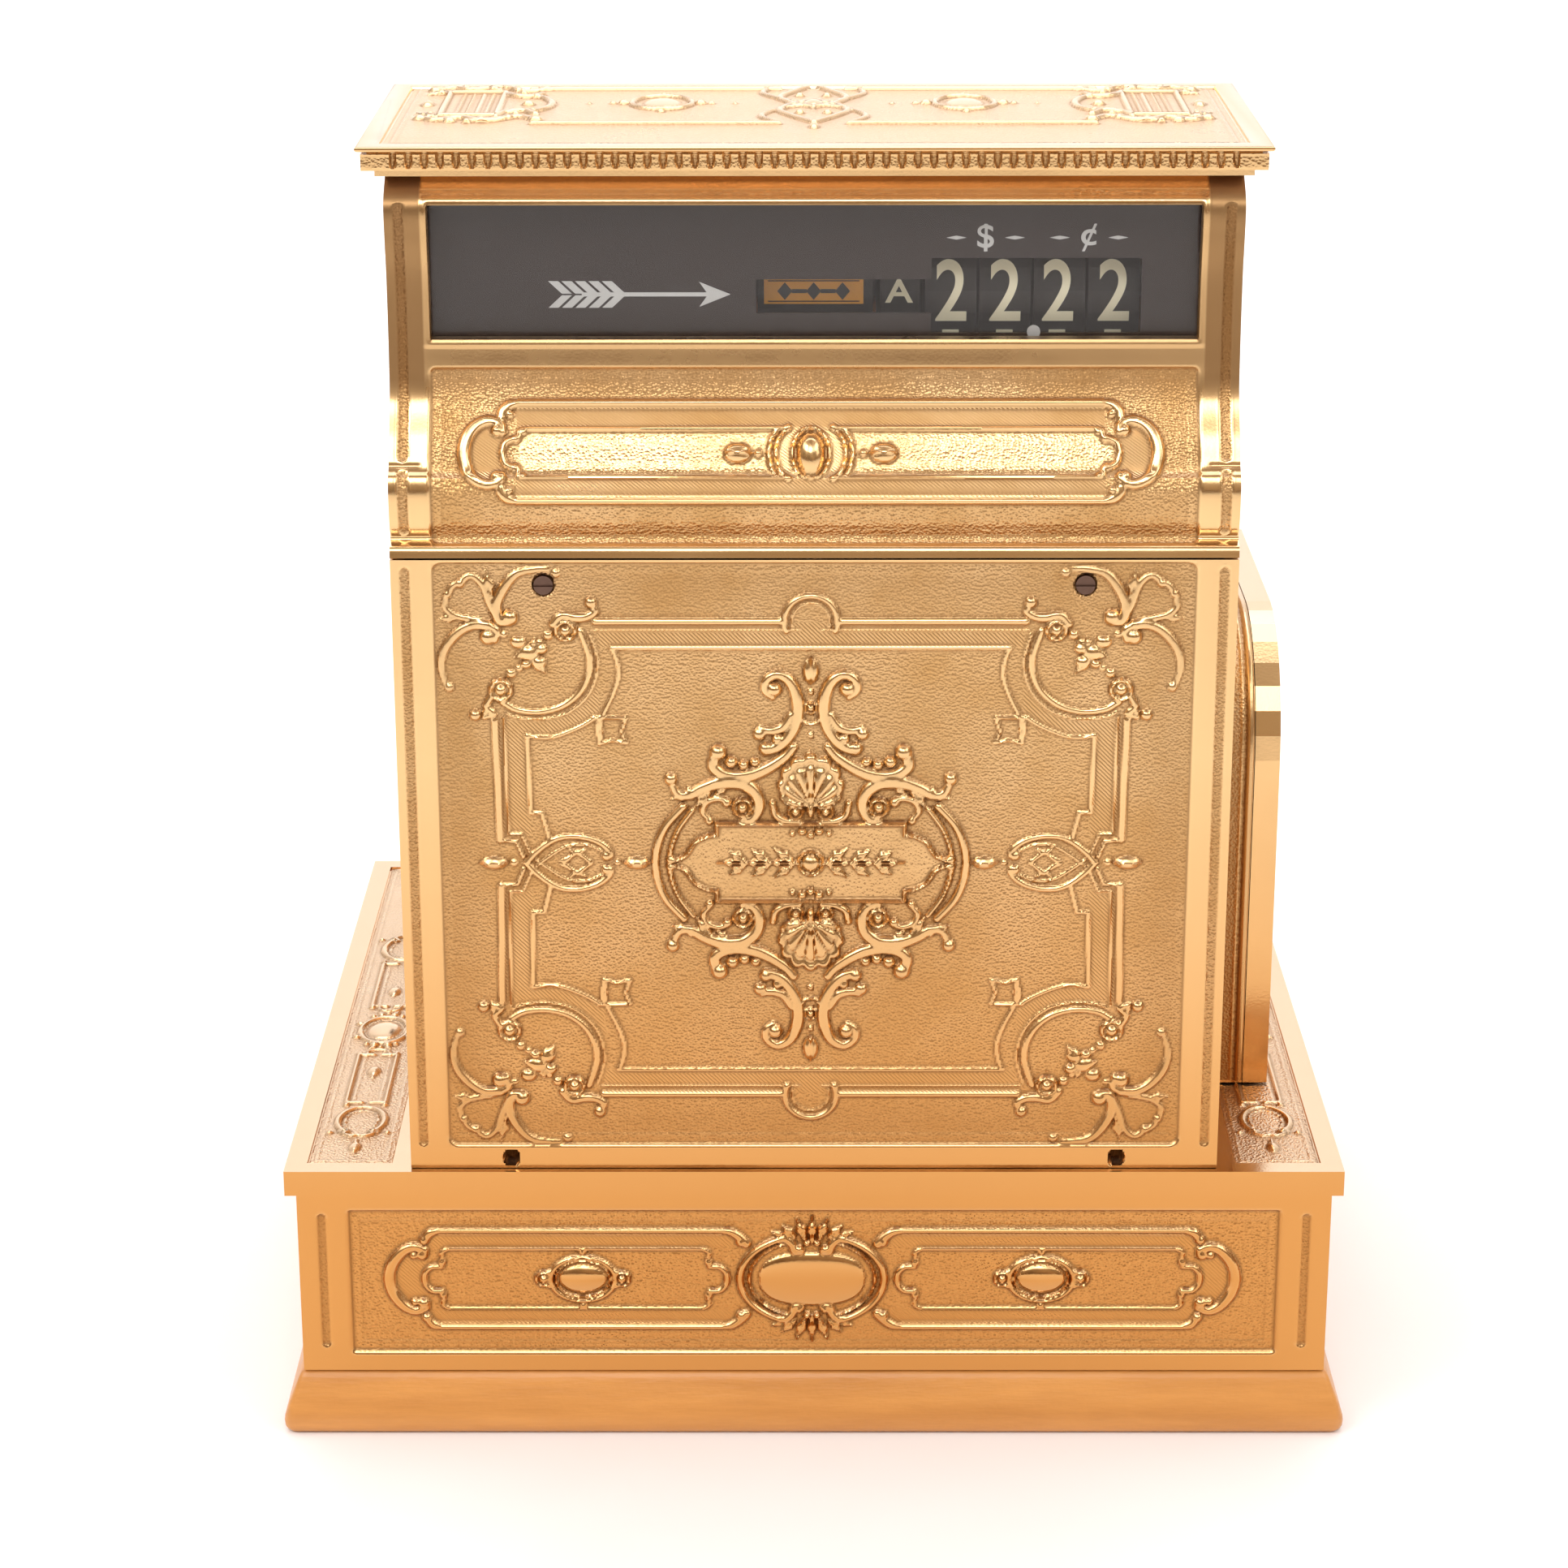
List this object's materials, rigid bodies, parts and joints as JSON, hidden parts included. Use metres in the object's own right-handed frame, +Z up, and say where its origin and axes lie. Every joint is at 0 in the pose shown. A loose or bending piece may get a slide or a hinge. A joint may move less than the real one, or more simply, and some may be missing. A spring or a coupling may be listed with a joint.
{
  "type": "cash register",
  "caption": "Ornate antique brass key-bank cash register with an indicator window, printer box, cash drawer and wooden base.",
  "frame": {"origin": "centre of the base's footprint, on the surface that the base stands on", "axes": "+Z up, -Y towards the customer, whose side shows the large decorated cover and the window, +Y towards the operator and the keys, +X to the customer's right, where the printer box is"},
  "size_m": [0.51, 0.433, 0.6152],
  "materials": {
    "brass": "polished brass frames around matt stippled grounds",
    "wood": "satin stained hardwood",
    "drawer_wood": "plain varnished wood",
    "handle_wood": "dark turned wood",
    "steel": "dull nickelled steel",
    "cast_iron": "black painted cast iron",
    "glass": "clear pane",
    "mask": "black-brown satin enamel",
    "wheel_black": "black enamel with cream figures",
    "wheel_amber": "amber and black enamel flags",
    "key_top": "ivory-coloured key tops",
    "key_red": "red key top",
    "paper": "paper",
    "rubber": "black rubber"
  },
  "bodies": {
    "cabinet": {"base_board": "wood", "case_left_wall": "brass", "case_right_wall": "brass", "case_rear_panel": "brass", "case_lid": "brass", "cabinet_left_side": "brass", "cabinet_right_side": "brass", "back_cover": "brass", "cover_screw_left": "steel", "cover_screw_right": "steel", "upper_rear_casting": "brass", "top_cover": "brass", "rear_glass": "glass", "rear_mask": "mask", "front_upper_casting": "brass", "front_glass": "glass", "front_mask": "mask", "keyboard_panel": "brass", "front_lower_panel": "brass", "frame_left": "cast_iron", "frame_right": "cast_iron", "indicator_shaft": "steel", "drawer_spring": "steel", "latch_pin": "steel", "bell": "brass", "printer_housing": "brass", "printer_hinge_pin": "steel"},
    "drawer": {"drawer_tray": "drawer_wood", "till_insert": "drawer_wood", "drawer_front": "brass", "drawer_pull": "brass"},
    "drawer_lock": {"drawer_lock": "steel"},
    "drawer_roller_left": {"drawer_roller_left": "steel"},
    "drawer_roller_right": {"drawer_roller_right": "steel"},
    "bill_clip_1": {"bill_clip_1": "steel"},
    "bill_clip_2": {"bill_clip_2": "steel"},
    "bill_clip_3": {"bill_clip_3": "steel"},
    "drawer_latch": {"drawer_latch": "steel"},
    "key_bank_1": {"key_bank_1": "key_top"},
    "key_bank_2": {"key_bank_2": "key_top"},
    "key_bank_3": {"key_bank_3": "key_top"},
    "key_bank_4": {"key_bank_4": "key_top"},
    "key_bank_clerk": {"key_bank_clerk": "key_top"},
    "key_no_sale": {"key_no_sale": "key_red"},
    "key_total": {"key_total": "key_top"},
    "amount_wheel_1": {"amount_wheel_1": "wheel_black"},
    "amount_wheel_2": {"amount_wheel_2": "wheel_black"},
    "amount_wheel_3": {"amount_wheel_3": "wheel_black"},
    "amount_wheel_4": {"amount_wheel_4": "wheel_black"},
    "clerk_wheel": {"clerk_wheel": "wheel_black"},
    "transaction_drum": {"transaction_drum": "wheel_amber"},
    "crank": {"crank_shaft": "steel", "crank_arm": "steel"},
    "crank_grip": {"crank_grip": "handle_wood"},
    "main_shaft": {"main_shaft": "steel"},
    "bell_hammer": {"bell_hammer": "steel"},
    "printer_door": {"printer_door": "brass"},
    "printer_lock": {"printer_lock": "steel"},
    "paper_roll": {"paper_roll": "paper"},
    "platen_roller": {"platen_roller": "rubber"}
  },
  "joints": [
    {"name": "drawer_slide", "type": "slide", "parent": "cabinet", "child": "drawer", "axis": [0, 1, 0], "range_m": [0, 0.3]},
    {"name": "drawer_lock_turn", "type": "hinge", "parent": "drawer", "child": "drawer_lock", "pos_m": [0, 0.1923, 0.098], "axis": [0, 1, 0], "range_deg": [0, 90]},
    {"name": "drawer_roller_left_turn", "type": "hinge", "parent": "cabinet", "child": "drawer_roller_left", "pos_m": [-0.2, 0.118, 0.028], "axis": [-1, 0, 0], "range_deg": [0, 2160]},
    {"name": "drawer_roller_right_turn", "type": "hinge", "parent": "cabinet", "child": "drawer_roller_right", "pos_m": [0.2, 0.118, 0.028], "axis": [-1, 0, 0], "range_deg": [0, 2160]},
    {"name": "bill_clip_1_lift", "type": "hinge", "parent": "drawer", "child": "bill_clip_1", "pos_m": [-0.149, -0.1605, 0.104], "axis": [1, 0, 0], "range_deg": [0, 35]},
    {"name": "bill_clip_2_lift", "type": "hinge", "parent": "drawer", "child": "bill_clip_2", "pos_m": [0, -0.1605, 0.104], "axis": [1, 0, 0], "range_deg": [0, 35]},
    {"name": "bill_clip_3_lift", "type": "hinge", "parent": "drawer", "child": "bill_clip_3", "pos_m": [0.149, -0.1605, 0.104], "axis": [1, 0, 0], "range_deg": [0, 35]},
    {"name": "drawer_latch_drop", "type": "hinge", "parent": "cabinet", "child": "drawer_latch", "pos_m": [0, -0.102, 0.152], "axis": [1, 0, 0], "range_deg": [0, 14]},
    {"name": "key_bank_1_press", "type": "slide", "parent": "cabinet", "child": "key_bank_1", "axis": [0, -0.7639, -0.6454], "range_m": [0, 0.006], "stiffness_N_per_m": 400, "springref_m": -0.005},
    {"name": "key_bank_2_press", "type": "slide", "parent": "cabinet", "child": "key_bank_2", "axis": [0, -0.7639, -0.6454], "range_m": [0, 0.006], "stiffness_N_per_m": 400, "springref_m": -0.005},
    {"name": "key_bank_3_press", "type": "slide", "parent": "cabinet", "child": "key_bank_3", "axis": [0, -0.7639, -0.6454], "range_m": [0, 0.006], "stiffness_N_per_m": 400, "springref_m": -0.005},
    {"name": "key_bank_4_press", "type": "slide", "parent": "cabinet", "child": "key_bank_4", "axis": [0, -0.7639, -0.6454], "range_m": [0, 0.006], "stiffness_N_per_m": 400, "springref_m": -0.005},
    {"name": "key_bank_clerk_press", "type": "slide", "parent": "cabinet", "child": "key_bank_clerk", "axis": [0, -0.7639, -0.6454], "range_m": [0, 0.006], "stiffness_N_per_m": 400, "springref_m": -0.005},
    {"name": "key_no_sale_press", "type": "slide", "parent": "cabinet", "child": "key_no_sale", "axis": [0, -0.7639, -0.6454], "range_m": [0, 0.006], "stiffness_N_per_m": 400, "springref_m": -0.005},
    {"name": "key_total_press", "type": "slide", "parent": "cabinet", "child": "key_total", "axis": [0, -0.7639, -0.6454], "range_m": [0, 0.006], "stiffness_N_per_m": 400, "springref_m": -0.005},
    {"name": "amount_wheel_1_turn", "type": "hinge", "parent": "cabinet", "child": "amount_wheel_1", "pos_m": [0.0616, -0.105, 0.545], "axis": [1, 0, 0], "continuous": true},
    {"name": "amount_wheel_2_turn", "type": "hinge", "parent": "cabinet", "child": "amount_wheel_2", "pos_m": [0.0861, -0.105, 0.545], "axis": [1, 0, 0], "continuous": true},
    {"name": "amount_wheel_3_turn", "type": "hinge", "parent": "cabinet", "child": "amount_wheel_3", "pos_m": [0.1106, -0.105, 0.545], "axis": [1, 0, 0], "continuous": true},
    {"name": "amount_wheel_4_turn", "type": "hinge", "parent": "cabinet", "child": "amount_wheel_4", "pos_m": [0.1351, -0.105, 0.545], "axis": [1, 0, 0], "continuous": true},
    {"name": "clerk_wheel_turn", "type": "hinge", "parent": "cabinet", "child": "clerk_wheel", "pos_m": [0.0387, -0.105, 0.545], "axis": [1, 0, 0], "continuous": true},
    {"name": "transaction_drum_turn", "type": "hinge", "parent": "cabinet", "child": "transaction_drum", "pos_m": [0.0006, -0.105, 0.545], "axis": [1, 0, 0], "continuous": true},
    {"name": "crank_turn", "type": "hinge", "parent": "cabinet", "child": "crank", "pos_m": [-0.19, 0.098, 0.25], "axis": [1, 0, 0], "continuous": true},
    {"name": "crank_grip_fold", "type": "hinge", "parent": "crank", "child": "crank_grip", "pos_m": [-0.21, 0.186, 0.25], "axis": [0, 0, -1], "range_deg": [0, 90]},
    {"name": "main_shaft_turn", "type": "hinge", "parent": "cabinet", "child": "main_shaft", "pos_m": [0, 0.053, 0.25], "axis": [1, 0, 0], "continuous": true},
    {"name": "bell_hammer_swing", "type": "hinge", "parent": "cabinet", "child": "bell_hammer", "pos_m": [-0.11, 0.085, 0.192], "axis": [1, 0, 0], "range_deg": [-25, 2.5]},
    {"name": "printer_door_swing", "type": "hinge", "parent": "cabinet", "child": "printer_door", "pos_m": [0.219, 0.0915, 0.25], "axis": [0, 0, 1], "range_deg": [0, 100]},
    {"name": "printer_lock_turn", "type": "hinge", "parent": "printer_door", "child": "printer_lock", "pos_m": [0.225, -0.084, 0.24], "axis": [1, 0, 0], "range_deg": [0, 90]},
    {"name": "paper_roll_turn", "type": "hinge", "parent": "cabinet", "child": "paper_roll", "pos_m": [0.2, 0.003, 0.285], "axis": [1, 0, 0], "continuous": true},
    {"name": "platen_roller_turn", "type": "hinge", "parent": "cabinet", "child": "platen_roller", "pos_m": [0.2, -0.062, 0.215], "axis": [1, 0, 0], "continuous": true}
  ],
  "couplings": [
    {"joint": "drawer_roller_left_turn", "follows": "drawer_slide", "rad_per_m": 125},
    {"joint": "drawer_roller_right_turn", "follows": "drawer_slide", "rad_per_m": 125},
    {"joint": "main_shaft_turn", "follows": "crank_turn", "ratio": -0.5}
  ]
}
